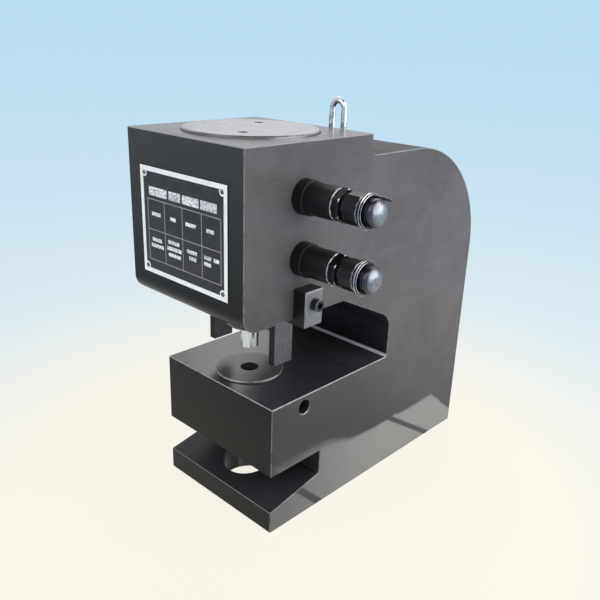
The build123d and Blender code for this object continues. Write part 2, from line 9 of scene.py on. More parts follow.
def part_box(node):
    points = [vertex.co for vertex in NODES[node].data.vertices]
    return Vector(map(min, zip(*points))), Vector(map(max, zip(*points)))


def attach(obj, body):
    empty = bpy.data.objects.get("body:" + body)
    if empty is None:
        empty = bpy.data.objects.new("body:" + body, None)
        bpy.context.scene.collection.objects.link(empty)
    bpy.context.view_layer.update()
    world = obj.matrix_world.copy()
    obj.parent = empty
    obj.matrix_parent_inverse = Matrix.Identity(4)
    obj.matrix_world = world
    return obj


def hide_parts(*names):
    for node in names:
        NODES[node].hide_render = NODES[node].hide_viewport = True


bl_info = {
    "name": "Hydraulic punching machine",
    "version": (1, 0, 0),
    "blender": (4, 5, 0),
    "location": "View3D > Sidebar > Punching machine",
    "description": "Finishes, nameplate, floor, lamps and camera for a C-frame hydraulic punching machine",
    "category": "Object",
}

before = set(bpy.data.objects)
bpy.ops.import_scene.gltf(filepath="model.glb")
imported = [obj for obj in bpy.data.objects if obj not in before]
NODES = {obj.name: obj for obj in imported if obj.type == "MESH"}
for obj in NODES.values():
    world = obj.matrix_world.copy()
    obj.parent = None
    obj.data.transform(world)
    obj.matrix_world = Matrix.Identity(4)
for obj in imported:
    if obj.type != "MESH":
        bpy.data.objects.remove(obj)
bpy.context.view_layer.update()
MM = 0.001

# Faces of the block that its finishes follow, in millimetres
ANVIL_FRONT = -44.0
ANVIL_TOP = 139.0
THROAT_BACK = 130.0
STEP_BACK = 80.0
BODY_TOP = 362.0
HEAD_TOP = 382.0


# Shared helpers

def linear(colour):
    """A colour written as an sRGB hex value such as 8a8c90, in the linear values that shaders take."""
    parts = [int(colour[i:i + 2], 16) / 255 for i in (0, 2, 4)]
    return [p / 12.92 if p <= 0.04045 else ((p + 0.055) / 1.055) ** 2.4 for p in parts] + [1.0]


def add(tree, kind, inputs=None, output=0, **settings):
    """Adds a node with its settings and links and gives one output; an input is a value or a socket. Inputs
    1 to 4 of MapRange are its old and new limits; inputs 2 and 3 of Mix are its two values, 6 and 7 its two
    colours."""
    made = tree.nodes.new("ShaderNode" + kind)
    for name, value in settings.items():
        setattr(made, name, value)
    for name, value in (inputs or {}).items():
        if isinstance(value, bpy.types.NodeSocket):
            tree.links.new(value, made.inputs[name])
        else:
            made.inputs[name].default_value = value
    return made.outputs[output]


def new_material(name):
    """An empty node material with its shader and output, both linked."""
    material = bpy.data.materials.new(name)
    material.use_nodes = True
    tree = material.node_tree
    tree.nodes.clear()
    shader = tree.nodes.new("ShaderNodeBsdfPrincipled")
    output = tree.nodes.new("ShaderNodeOutputMaterial")
    tree.links.new(shader.outputs[0], output.inputs[0])
    return material, tree, shader


def place(tree):
    """Position in millimetres in the machine's own frame, whole and as X, Y and Z."""
    at = add(tree, "Mapping", {"Vector": add(tree, "TexCoord", output="Object"), "Scale": (1000, 1000, 1000)})
    return at, add(tree, "SeparateXYZ", {0: at}).node.outputs


def outward(tree):
    """X, Y and Z of the direction in which a face looks."""
    return add(tree, "SeparateXYZ", {0: add(tree, "NewGeometry", output="True Normal")}).node.outputs


def grain(tree, at, size, detail=3.0, stretch=(1, 1, 1)):
    """Irregular pattern from 0 to 1 with spots size millimetres across, longer where stretch is above 1."""
    spread = add(tree, "Mapping", {"Vector": at, "Scale": [1 / (size * s) for s in stretch]})
    return add(tree, "TexNoise", {"Vector": spread, "Scale": 1.0, "Detail": detail, "Roughness": 0.6})


def worn_edge_and_glint(tree, along, at, size=9):
    """Share from 0 to 1 of bright steel on edges, in spots size millimetres across: faces that lean
    between 20 and 70 degrees. It is partly bare steel from wear and partly a painted highlight on the
    chamfers."""
    lean = add(tree, "Math", {0: along}, operation="ABSOLUTE")
    rise = add(tree, "MapRange", {0: lean, 1: 0.30, 2: 0.36})
    fall = add(tree, "MapRange", {0: lean, 1: 0.97, 2: 0.93})
    spots = grain(tree, at, size, stretch=(1, 3, 1))
    worn_and_glint = add(tree, "MapRange", {0: spots, 1: 0.36, 2: 0.56, 3: 0.3, 4: 1.0})
    edge = add(tree, "Math", {0: rise, 1: fall}, operation="MULTIPLY")
    return add(tree, "Math", {0: edge, 1: worn_and_glint}, operation="MULTIPLY")


def centre_line(node):
    """Y and Z of the axis along X of a round piece, in millimetres."""
    low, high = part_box(node)
    return (low.y + high.y) / 2 / MM, (low.z + high.z) / 2 / MM


def finish(node, material):
    """Gives a node of the CAD model its material."""
    mesh = NODES[node].data
    mesh.materials.clear()
    mesh.materials.append(material)


# Materials

def grinding_marks(tree, at, facing):
    """Long marks left by the grinding wheel, along Y on sides and tops and along X on fronts. They are 0.2 mm
    apart on the real one, drawn coarser so that they show."""
    front = add(tree, "Math", {0: facing[1]}, operation="ABSOLUTE")
    front = add(tree, "MapRange", {0: front, 1: 0.7, 2: 0.8})
    return add(tree, "Mix", {0: front, 2: grain(tree, at, 1.4, stretch=(1, 60, 1)),
                             3: grain(tree, at, 1.4, stretch=(60, 1, 1))})


def painted_light_share(tree, axes, facing, flat):
    """Share from 0 to 1 of painted light, which lightens the faces where the light falls: on the sides and
    the back, less so low down, towards the front and near the head's top, and, as a painted reflection, on
    the tops of the head and the body."""
    lower = add(tree, "Math", {0: axes[1], 1: 0.4, 2: axes[2]}, operation="MULTIPLY_ADD")
    lower = add(tree, "MapRange", {0: lower, 1: 110.0, 2: 260.0, 3: 0.15, 4: 1.0})
    upper = add(tree, "MapRange", {0: axes[2], 1: 320.0, 2: HEAD_TOP - 2.0, 3: 1.0, 4: 0.7})
    lower = add(tree, "Math", {0: lower, 1: upper}, operation="MULTIPLY")
    sides = add(tree, "Math", {0: facing[0]}, operation="ABSOLUTE")
    sides = add(tree, "Math", {0: sides, 1: facing[1]}, operation="MAXIMUM")
    sides = add(tree, "Math", {0: sides, 1: lower}, operation="MULTIPLY")
    crown = add(tree, "MapRange", {0: axes[2], 1: BODY_TOP, 2: HEAD_TOP - 2.0, 3: 0.3, 4: 1.0})
    crown = add(tree, "Math", {0: flat, 1: crown}, operation="MULTIPLY")
    above = add(tree, "Math", {0: axes[2], 1: 300.0}, operation="GREATER_THAN")
    crown = add(tree, "Math", {0: above, 1: crown}, operation="MULTIPLY")
    return add(tree, "Math", {0: sides, 1: crown}, operation="MAXIMUM")


def worn_edges_and_highlight(tree, at, axes, facing, tilt, at_front, edge_wear_and_highlight):
    """Share from 0 to 1 of bright steel on the block's chamfers, partly bare from wear and partly a painted
    highlight:
    most on the top ones towards the right and the front, where the light catches them, less on the upright
    ones and least on the foot. Of the slopes towards the front, only the chamfers of the front faces count."""
    lean = add(tree, "Math", {0: facing[0], 1: facing[2]}, operation="MULTIPLY")
    upright = add(tree, "Math", {0: worn_edge_and_glint(tree, facing[0], at), 1: 0.45}, operation="MULTIPLY")
    top = add(tree, "MapRange", {0: lean, 1: 0.2, 2: 0.4})
    top = add(tree, "Math", {0: top, 1: 0.7}, operation="MULTIPLY")
    cross = add(tree, "MapRange", {0: tilt, 1: -0.35, 2: -0.45})
    cross = add(tree, "Math", {0: cross, 1: at_front}, operation="MULTIPLY")
    low = add(tree, "MapRange", {0: axes[2], 1: 30.0, 2: 70.0, 3: 0.4, 4: 1.0})
    edge = add(tree, "Math", {0: top, 1: cross}, operation="MAXIMUM")
    edge = add(tree, "Math", {0: edge, 1: low}, operation="MULTIPLY")
    spots = add(tree, "MapRange", {0: grain(tree, at, 11), 1: 0.3, 2: 0.5, 3: 0.6, 4: 1.0})
    edge = add(tree, "Math", {0: edge, 1: spots}, operation="MULTIPLY")
    edge = add(tree, "Math", {0: edge, 1: upright}, operation="MAXIMUM")
    return add(tree, "Math", {0: edge, 1: edge_wear_and_highlight}, operation="MULTIPLY")


def painted_throat_corner_highlight(tree, axes, tilt):
    """Share from 0 to 1 of a painted highlight along the throat's lower rear corner."""
    corner = add(tree, "MapRange", {0: tilt, 1: -0.25, 2: -0.38})
    behind = add(tree, "Math", {0: axes[1], 1: THROAT_BACK - 20.0}, operation="GREATER_THAN")
    corner = add(tree, "Math", {0: corner, 1: behind}, operation="MULTIPLY")
    low = add(tree, "MapRange", {0: axes[2], 1: ANVIL_TOP + 10.0, 2: ANVIL_TOP + 7.0})
    return add(tree, "Math", {0: corner, 1: low}, operation="MULTIPLY")


def oil_film(tree, shader, axes, facing):
    """Oil on the slot's floor and the anvil and, thinner, on the head, which makes them mirror more."""
    oil = add(tree, "MapRange", {0: axes[2], 1: HEAD_TOP - 10.0, 2: HEAD_TOP - 2.0, 3: 0.7, 4: 0.25})
    wet = add(tree, "MapRange", {0: facing[2], 1: 0.975, 2: 0.985})
    oil = add(tree, "Math", {0: oil, 1: wet}, operation="MULTIPLY")
    fore = add(tree, "MapRange", {0: axes[1], 1: STEP_BACK + 4.0, 2: STEP_BACK})
    oil = add(tree, "Math", {0: oil, 1: fore}, operation="MULTIPLY")
    tree.links.new(oil, shader.inputs["Coat Weight"])
    shader.inputs["Coat Roughness"].default_value = 0.24
    shader.inputs["Coat IOR"].default_value = 1.5


def blackened_steel(name, look, tones, shaded_hollow, stain, spread, block=False):
    """Ground steel, blackened and oiled: dark grey sheen, long faint grinding marks, edges brightened partly
    as wear and partly by a painted highlight, and painted light and shade on its faces.
    """
    material, tree, shader = new_material(name)
    at, axes = place(tree)
    facing = outward(tree)
    marks = grinding_marks(tree, at, facing)
    # Cloudy oxide and oil stains
    tone = add(tree, "Mix", {0: 0.3, 2: grain(tree, at, 110, 4.0), 3: grain(tree, at, stain, 5.0)})
    tone = add(tree, "MapRange", {0: tone, 1: 0.5 - spread, 2: 0.5 + spread})
    colour = add(tree, "Mix", {0: tone, 6: linear(tones[0]), 7: linear(tones[1])}, 2, data_type="RGBA")
    streak = add(tree, "MapRange", {0: marks, 1: 0.35, 2: 0.7, 3: 0.0, 4: 0.16})
    colour = add(tree, "Mix", {0: streak, 6: colour, 7: linear(look.mark)}, 2, data_type="RGBA")
    # Painted shade: the fronts, the slot, the throat and the anvil's top are darkened where the light doesn't
    # reach, the head's front less so towards its top by painted light, while the lit faces keep the lighter
    # tones
    flat = add(tree, "MapRange", {0: facing[2], 1: 0.988, 2: 0.995})
    high = add(tree, "MapRange", {0: axes[2], 1: 240.0, 2: HEAD_TOP - 2.0})
    shaded_fronts = add(tree, "Mix", {0: high, 6: linear(look.front_shaded), 7: linear(look.front_top_lit)}, 2, data_type="RGBA")
    at_front = add(tree, "MapRange", {0: axes[1], 1: ANVIL_FRONT + 2.0, 2: ANVIL_FRONT + 1.2})
    black = add(tree, "Mix", {0: at_front, 6: linear(shaded_hollow), 7: shaded_fronts}, 2, data_type="RGBA")
    painted_light = painted_light_share(tree, axes, facing, flat)
    colour = add(tree, "Mix", {0: painted_light, 6: black, 7: colour}, 2, data_type="RGBA")
    smear = grain(tree, at, 35, 4.0, (1, 1.6, 1))
    rough = add(tree, "MapRange", {
        0: smear, 1: 0.3, 2: 0.7, 3: look.roughness - 0.05, 4: look.roughness + 0.05})
    # The top of the body behind the head is dry and dull
    dry = add(tree, "Math", {0: axes[1], 1: STEP_BACK + 4.0}, operation="GREATER_THAN")
    dry = add(tree, "Math", {0: dry, 1: flat}, operation="MULTIPLY")
    rough = add(tree, "Math", {0: dry, 1: 0.3, 2: rough}, operation="MULTIPLY_ADD")
    if block:
        # Painted reflection of the floor, low on the right side
        colour = painted_floor_reflection(tree, axes, facing, smear, colour, look)
        oil_film(tree, shader, axes, facing)
    tilt = add(tree, "Math", {0: facing[1], 1: facing[2]}, operation="MULTIPLY")
    # Chamfers lightened partly as wear and partly by a painted highlight
    edge = worn_edges_and_highlight(tree, at, axes, facing, tilt, at_front, look.edge_wear_and_highlight)
    colour = add(tree, "Mix", {0: edge, 6: colour, 7: linear("b4b6bc")}, 2, data_type="RGBA")
    # Painted highlight along the throat's lower rear corner
    corner = painted_throat_corner_highlight(tree, axes, tilt)
    colour = add(tree, "Mix", {0: corner, 6: colour, 7: linear("e2e2e8")}, 2, data_type="RGBA")
    tree.links.new(colour, shader.inputs["Base Color"])
    tree.links.new(rough, shader.inputs["Roughness"])
    bare_and_glint = add(tree, "Math", {0: edge, 1: 0.5}, operation="MULTIPLY")
    tree.links.new(bare_and_glint, shader.inputs["Metallic"])
    relief = add(tree, "Bump", {"Height": marks, "Distance": 0.004 * MM, "Strength": 0.3})
    tree.links.new(relief, shader.inputs["Normal"])
    shader.inputs["Specular IOR Level"].default_value = look.gloss
    return material


def painted_floor_reflection(tree, axes, facing, smear, colour, look):
    """Painted reflection of the floor: a lighter band low on the right side up to a soft edge, crossed by two
    slanting dark lines where floor joints are mirrored.
    """
    right = add(tree, "Math", {0: facing[0], 1: 0.9}, operation="GREATER_THAN")
    height = add(tree, "Math", {0: smear, 1: 10.0, 2: axes[2]}, operation="MULTIPLY_ADD")
    # The band's top: higher along the foot, level behind it, and falling steeply to the rear corner
    near = add(tree, "MapRange", {0: axes[1], 1: 40.0, 2: 75.0, 3: 68.0, 4: 59.0})
    rise = add(tree, "Math", {0: axes[1], 1: 0.01, 2: 55.5}, operation="MULTIPLY_ADD")
    drop = add(tree, "Math", {0: axes[1], 1: -0.75, 2: 231.0}, operation="MULTIPLY_ADD")
    crest = add(tree, "Math", {0: rise, 1: drop}, operation="MINIMUM")
    rear = add(tree, "Math", {0: axes[1], 1: 160.0}, operation="GREATER_THAN")
    crest = add(tree, "Mix", {0: rear, 2: near, 3: crest})
    below = add(tree, "Math", {0: crest, 1: height}, operation="SUBTRACT")
    softness = add(tree, "MapRange", {0: axes[1], 1: 30.0, 2: 90.0, 3: -14.0, 4: -3.0})
    band = add(tree, "MapRange", {0: below, 1: softness, 2: 1.0})
    start = add(tree, "MapRange", {0: axes[1], 1: -60.0, 2: 125.0, 3: 0.35, 4: 1.0})
    band = add(tree, "Math", {0: band, 1: start}, operation="MULTIPLY")
    for foot, lean in ((29.0, 1.03), (231.0, 1.54)):
        # Distance along Y from a painted dark line, a mirrored floor joint, that rises towards the front
        joint_reflection_line = add(tree, "Math", {0: axes[2], 1: lean, 2: -foot}, operation="MULTIPLY_ADD")
        away = add(tree, "Math", {0: joint_reflection_line, 1: axes[1]}, operation="ADD")
        away = add(tree, "Math", {0: away}, operation="ABSOLUTE")
        clear = add(tree, "MapRange", {0: away, 1: 3.8, 2: 7.0, 3: 0.05, 4: 1.0})
        band = add(tree, "Math", {0: band, 1: clear}, operation="MULTIPLY")
    band = add(tree, "Math", {0: band, 1: right}, operation="MULTIPLY")
    return add(tree, "Mix", {0: band, 6: colour, 7: linear(look.floor_reflection_tone)}, 2, data_type="RGBA")


def turned_steel(name, colours, roughness, centre=(0.0, 0.0), axis="Z", spacing=1.1, metallic=0.95, edge=0.0,
                 relief=0.3):
    """Steel from the lathe: fine rings round its own axis, slight oil tint, a few stains, and edges lightened
    partly as wear and partly by a painted highlight.
    """
    material, tree, shader = new_material(name)
    at, axes = place(tree)
    pair = {"X": (1, 2), "Z": (0, 1)}[axis]
    a = add(tree, "Math", {0: axes[pair[0]], 1: centre[0]}, operation="SUBTRACT")
    b = add(tree, "Math", {0: axes[pair[1]], 1: centre[1]}, operation="SUBTRACT")
    radius = add(tree, "VectorMath", {0: add(tree, "CombineXYZ", {0: a, 1: b})}, "Value", operation="LENGTH")
    turn = add(tree, "Math", {0: radius, 1: axes["XYZ".index(axis)]}, operation="ADD")
    # Rings are 0.2 mm apart on the real one and are drawn coarser, so that they show
    turn = add(tree, "Math", {0: turn, 1: spacing}, operation="DIVIDE")
    rings = add(tree, "TexNoise", {"W": turn, "Scale": 1.0, "Detail": 3.0, "Roughness": 0.7},
                noise_dimensions="1D")
    stains = grain(tree, at, 12, 4.0)
    tone = add(tree, "MapRange", {0: add(tree, "Mix", {0: 0.4, 2: rings, 3: stains}), 1: 0.35, 2: 0.65})
    colour = add(tree, "Mix", {0: tone, 6: linear(colours[0]), 7: linear(colours[1])}, 2, data_type="RGBA")
    rough = add(tree, "MapRange", {0: tone, 3: roughness - 0.04, 4: roughness + 0.06})
    # Edges lightened partly as wear and partly by a painted highlight
    if edge:
        worn_and_glint = worn_edge_and_glint(tree, outward(tree)["XYZ".index(axis)], at, 3)
        worn_and_glint = add(tree, "Math", {0: worn_and_glint, 1: edge}, operation="MULTIPLY")
        colour = add(tree, "Mix", {0: worn_and_glint, 6: colour, 7: linear("d0d2d8")}, 2, data_type="RGBA")
        bare_and_glint = add(tree, "Math", {0: worn_and_glint, 1: metallic}, operation="MAXIMUM")
        tree.links.new(bare_and_glint, shader.inputs["Metallic"])
    else:
        shader.inputs["Metallic"].default_value = metallic
    tree.links.new(colour, shader.inputs["Base Color"])
    tree.links.new(rough, shader.inputs["Roughness"])
    bumps = add(tree, "Bump", {"Height": rings, "Distance": 0.01 * MM, "Strength": relief})
    tree.links.new(bumps, shader.inputs["Normal"])
    return material


def black_oxide(name, colours, roughness, coat, centre, edge=0.0):
    """Turned or milled steel with a black oxide: near black, faint rings round X, glossier where oiled."""
    material = turned_steel(name, colours, roughness, centre, "X", 0.9, 0.2, edge)
    shader = material.node_tree.nodes["Principled BSDF"]
    shader.inputs["Coat Weight"].default_value = coat
    shader.inputs["Coat Roughness"].default_value = 0.08
    shader.inputs["Specular IOR Level"].default_value = 0.25
    return material


def bright_plating(name, colour, roughness, dull="70747c"):
    """Chromed or zinc-plated steel: mirror-like, with faint waviness, handling marks and dull spots."""
    material, tree, shader = new_material(name)
    at = place(tree)[0]
    waves = grain(tree, at, 6, 2.0)
    specks = grain(tree, at, 0.8)
    tone = add(tree, "MapRange", {0: add(tree, "Mix", {0: 0.45, 2: waves, 3: specks}), 1: 0.36, 2: 0.52})
    paint = add(tree, "Mix", {0: tone, 6: linear(dull), 7: linear(colour)}, 2, data_type="RGBA")
    tree.links.new(paint, shader.inputs["Base Color"])
    rough = add(tree, "MapRange", {0: tone, 3: roughness + 0.08, 4: roughness})
    tree.links.new(rough, shader.inputs["Roughness"])
    relief = add(tree, "Bump", {"Height": waves, "Distance": 0.05 * MM, "Strength": 0.25})
    tree.links.new(relief, shader.inputs["Normal"])
    shader.inputs["Metallic"].default_value = 1.0
    return material


def nitrile_rubber(name):
    """Black nitrile rubber, moulded: dull, with a fine grain."""
    material, tree, shader = new_material(name)
    at = place(tree)[0]
    pores = grain(tree, at, 0.6)
    colour = add(tree, "Mix", {0: pores, 6: linear("121212"), 7: linear("1f1f20")}, 2, data_type="RGBA")
    tree.links.new(colour, shader.inputs["Base Color"])
    relief = add(tree, "Bump", {"Height": pores, "Distance": 0.02 * MM})
    tree.links.new(relief, shader.inputs["Normal"])
    shader.inputs["Roughness"].default_value = 0.6
    return material


def printed_enamel(name, colour, dusty, roughness):
    """Screen-printed enamel on an aluminium plate: even colour, slight orange peel and a film of dust."""
    material, tree, shader = new_material(name)
    at = place(tree)[0]
    dust = add(tree, "MapRange", {0: grain(tree, at, 20, 5.0), 1: 0.45, 2: 0.7})
    paint = add(tree, "Mix", {0: dust, 6: linear(colour), 7: linear(dusty)}, 2, data_type="RGBA")
    tree.links.new(paint, shader.inputs["Base Color"])
    rough = add(tree, "MapRange", {0: dust, 3: roughness, 4: roughness + 0.15})
    tree.links.new(rough, shader.inputs["Roughness"])
    relief = add(tree, "Bump", {"Height": grain(tree, at, 1.5, 2.0), "Distance": 0.01 * MM, "Strength": 0.4})
    tree.links.new(relief, shader.inputs["Normal"])
    shader.inputs["Specular IOR Level"].default_value = 0.35
    return material


def print_strokes(name, colour, field, pitch):
    """Screen-printed white strokes, fine, broken and of uneven width, on a grey field."""
    material = printed_enamel(name, colour, "b4b4bc", 0.4)
    tree = material.node_tree
    shader = tree.nodes["Principled BSDF"]
    strokes = grain(tree, place(tree)[0], pitch, 1.0, (1, 1, 2.2))
    strokes = add(tree, "MapRange", {0: strokes, 1: 0.38, 2: 0.45})
    base = shader.inputs["Base Color"].links[0].from_socket
    paint = add(tree, "Mix", {0: strokes, 6: linear(field), 7: base}, 2, data_type="RGBA")
    tree.links.new(paint, shader.inputs["Base Color"])
    return material


def satin_cap(name, centre, marks):
    """Plated and turned dust cap: satin grey dome with a painted highlight at its tip, blue-black grooved
    neck, dark flange with edges lightened partly as wear and partly by a painted highlight."""
    material = turned_steel(name, ("42434a", "5c5d64"), 0.28, centre, "X", 0.8, 1.0)
    tree = material.node_tree
    shader = tree.nodes["Principled BSDF"]
    at, axes = place(tree)
    neck_start, dome_start = marks
    base = shader.inputs["Base Color"].links[0].from_socket
    dome = add(tree, "MapRange", {0: axes[0], 1: dome_start - 1.2, 2: dome_start + 1.0})
    # Turned grooves 2 mm apart round the dome's foot, which fade out towards its tip
    groove = add(tree, "Math", {0: axes[0], 1: 3.1}, operation="MULTIPLY")
    groove = add(tree, "Math", {0: groove}, operation="SINE")
    groove = add(tree, "MapRange", {0: groove, 1: -0.2, 2: 0.7, 3: 0.0, 4: 0.85})
    fade = add(tree, "MapRange", {0: axes[0], 1: dome_start + 1.5, 2: dome_start + 4.0, 3: 1.0, 4: 0.0})
    groove = add(tree, "Math", {0: groove, 1: fade}, operation="MULTIPLY")
    base = add(tree, "Mix", {0: groove, 6: base, 7: linear("26262c")}, 2, data_type="RGBA")
    # The tip is lightened by a painted highlight
    painted_light = add(tree, "MapRange", {0: axes[0], 1: dome_start + 2.2, 2: dome_start + 4.8})
    spots = add(tree, "MapRange", {0: grain(tree, at, 4), 1: 0.35, 2: 0.55, 3: 0.5, 4: 1.0})
    painted_light = add(tree, "Math", {0: painted_light, 1: spots}, operation="MULTIPLY")
    base = add(tree, "Mix", {0: painted_light, 6: base, 7: linear("94969e")}, 2, data_type="RGBA")
    neck = add(tree, "MapRange", {0: axes[0], 1: neck_start - 0.1, 2: neck_start + 0.1})
    dark = add(tree, "Mix", {0: neck, 6: linear("26262c"), 7: linear("3c3c46")}, 2, data_type="RGBA")
    # The edges of the flange and of the neck's grooves are lightened partly as wear and partly by a painted
    # highlight
    worn_and_glint = worn_edge_and_glint(tree, outward(tree)[0], at)
    dark = add(tree, "Mix", {0: worn_and_glint, 6: dark, 7: linear("b8bac2")}, 2, data_type="RGBA")
    paint = add(tree, "Mix", {0: dome, 6: dark, 7: base}, 2, data_type="RGBA")
    tree.links.new(paint, shader.inputs["Base Color"])
    return material


class SteelFinish(bpy.types.PropertyGroup):
    """Colours and gloss of the machine's blackened steel."""

    dark: bpy.props.StringProperty(name="Dark", description="Darkest tone of the blackened steel, sRGB hex",
                                   default="403e3f")
    light: bpy.props.StringProperty(name="Light", default="656264",
                                    description="Lightest tone of the blackened steel, sRGB hex")
    mark: bpy.props.StringProperty(name="Grinding marks", description="Tone of the grinding marks, sRGB hex",
                                   default="707074")
    # Painted reflection of the floor, low on the right side
    floor_reflection_tone: bpy.props.StringProperty(name="Wiped band", default="7c7c7c",
                                    description="Tone of the band low on the right, sRGB hex")
    # Painted shade on the front faces, and painted light on the head's front towards its top
    front_shaded: bpy.props.StringProperty(name="Unrubbed", description="Tone of the front faces, sRGB hex",
                                       default="131112")
    front_top_lit: bpy.props.StringProperty(name="Brow", description="Tone of the head's front near its top, sRGB hex",
                                   default="3c3b3b")
    # Painted shade in the slot, the throat and on the anvil's top
    shaded_hollow: bpy.props.StringProperty(name="Hollows", default="2d2d32",
                                     description="Tone of slot, throat and anvil top, sRGB hex")
    gloss: bpy.props.FloatProperty(name="Gloss", description="Strength of the oxide's sheen",
                                   default=0.15, min=0.0, max=1.0, subtype="FACTOR")
    roughness: bpy.props.FloatProperty(name="Roughness", description="Mean roughness of the blackened steel",
                                       default=0.30, min=0.0, max=1.0)
    # How bright the chamfers are: partly wear and partly a painted highlight
    edge_wear_and_highlight: bpy.props.FloatProperty(name="Edge wear", description="How bright the broken edges are",
                                  default=0.75, min=0.0, max=1.0, subtype="FACTOR")


class NameplateSizes(bpy.types.PropertyGroup):
    """Sizes and colours of the printed nameplate."""

    border: bpy.props.FloatProperty(name="Border", description="Width of the white border",
                                    default=0.0046, unit="LENGTH")
    corner: bpy.props.FloatProperty(name="Corner lobe", default=0.0037, unit="LENGTH",
                                    description="Radius of the white lobes round the rivets")
    inset: bpy.props.FloatProperty(name="Rivet inset", default=0.0065, unit="LENGTH",
                                   description="From the plate's edges to the rivets' axes")
    line: bpy.props.FloatProperty(name="Grid line", description="Width of the table's lines",
                                  default=0.0008, unit="LENGTH")
    print_height: bpy.props.FloatProperty(name="Print height", description="Thickness of each printed layer",
                                          default=0.00006, unit="LENGTH")
    field: bpy.props.StringProperty(name="Field", description="Colour of the field, sRGB hex",
                                    default="221e21")
    white: bpy.props.StringProperty(name="White", description="Colour of the border and print, sRGB hex",
                                    default="fafafc")
    grid: bpy.props.StringProperty(name="Grid", description="Colour of the table's lines, sRGB hex",
                                   default="a09a9e")


class StageSettings(bpy.types.PropertyGroup):
    """Floor, lamps and camera."""

    near: bpy.props.StringProperty(name="Near floor", description="Floor colour near the camera, sRGB hex",
                                   default="faf6ea")
    middle: bpy.props.StringProperty(name="Middle floor", default="dbe9ef",
                                     description="Floor colour round the machine, sRGB hex")
    far: bpy.props.StringProperty(name="Far floor", description="Floor colour in the distance, sRGB hex",
                                  default="b9def3")
    studio: bpy.props.StringProperty(name="Studio", description="Colour of the studio's walls, sRGB hex",
                                     default="ececee")
    ceiling: bpy.props.StringProperty(name="Ceiling", description="Colour of the studio's ceiling, sRGB hex",
                                      default="4c4c4e")
    key: bpy.props.FloatProperty(name="Side lamp", description="Power of the large lamp on the right",
                                 default=60.0, min=0.0, unit="POWER")
    top: bpy.props.FloatProperty(name="Top lamp", description="Power of the large lamp behind and above",
                                 default=26.0, min=0.0, unit="POWER")
    fill: bpy.props.FloatProperty(name="Front lamp", description="Power of the soft lamp in front",
                                  default=48.0, min=0.0, unit="POWER")
    ambient: bpy.props.FloatProperty(name="Even light", description="Strength of the studio's even light",
                                     default=0.26, min=0.0, max=1.0)
    lens: bpy.props.FloatProperty(name="Lens", description="Focal length on a frame 36 mm wide",
                                  default=41.13, min=1.0, unit="CAMERA")


# Pieces

class PUNCH_OT_steel(bpy.types.Operator):
    """Gives the block, the strippers, the lid and the tools their steel finishes."""

    bl_idname = "punch.steel"
    bl_label = "Steel finishes"

    def execute(self, context):
        look = context.scene.punch_steel
        block = blackened_steel("blackened_ground_steel", look, (look.dark, look.light), look.shaded_hollow,
                                16, 0.28, block=True)
        finish("frame_block", block)
        # The strippers are milled from rougher stock, with a short, close mottle; their flanks are paler by
        # painted light, and their fronts and tops darker by painted shade
        stripper = blackened_steel("blackened_stripper_steel", look, ("525156", "8e8d94"), "1a1a1c",
                                   2.2, 0.11)
        for node in ("stripper_left", "stripper_right"):
            finish(node, stripper)
        # Faced on the lathe and left bright: pale satin with rings
        finish("cylinder_lid", turned_steel("faced_lid_steel", ("838385", "a6a6a8"), 0.30))
        # Hardened tool steel, scaled dark and ground on its rim, whose chamfer is lightened partly as wear
        # and partly by a painted highlight
        finish("die", turned_steel("hardened_die_steel", ("3c3c3e", "545456"), 0.30, metallic=0.5, edge=0.3))
        # Turned and oiled: mid grey, with chamfers lightened partly as wear and partly by a painted highlight
        finish("punch_nut", turned_steel("turned_nut_steel", ("4a4a50", "74747c"), 0.26, edge=0.5))
        # Hardened and polished: nearly white, without rings that can be felt
        finish("punch", turned_steel("polished_punch_steel", ("d0d0d4", "e0e0e4"), 0.2, relief=0.0))
        # Hard chrome, ground: a cold, clear mirror
        finish("piston_rod", bright_plating("hard_chrome", "cfd2d6", 0.12, "bcbfc4"))
        # Turned bronze: warm yellow brown
        finish("rod_gland", turned_steel("gland_bronze", ("8a6a34", "b08c4c"), 0.30))
        # Filled plastic, moulded: dull brown with a faint bloom
        finish("piston_guide_ring", printed_enamel("filled_guide_plastic", "6a4a2c", "7a5a38", 0.5))
        for node in ("lid_seal", "piston_seal", "gland_seal", "rod_seal", "rod_wiper"):
            finish(node, nitrile_rubber("nitrile_" + node))
        # Black oxide on hardened screws: nearly black satin; the cap screws' edges are lightened partly where
        # a key has rubbed them and partly by a painted highlight
        black = ("0e0e10", "1c1c20")
        finish("die_set_screw", black_oxide("black_set_screw", black, 0.35, 0.3, (0.0, 0.0)))
        screws = black_oxide("black_cap_screws", black, 0.28, 0.4, centre_line("stripper_screws"), 0.25)
        finish("stripper_screws", screws)
        return {"FINISHED"}


class PUNCH_OT_eye(bpy.types.Operator):
    """Gives the lifting eye its chrome."""

    bl_idname = "punch.eye"
    bl_label = "Lifting eye"

    def execute(self, context):
        # Bright chrome over bent bar: a sharp mirror, slightly wavy, with duller spots
        finish("lifting_eye", bright_plating("chromed_eye", "d6d8de", 0.10, "8c8f98"))
        return {"FINISHED"}


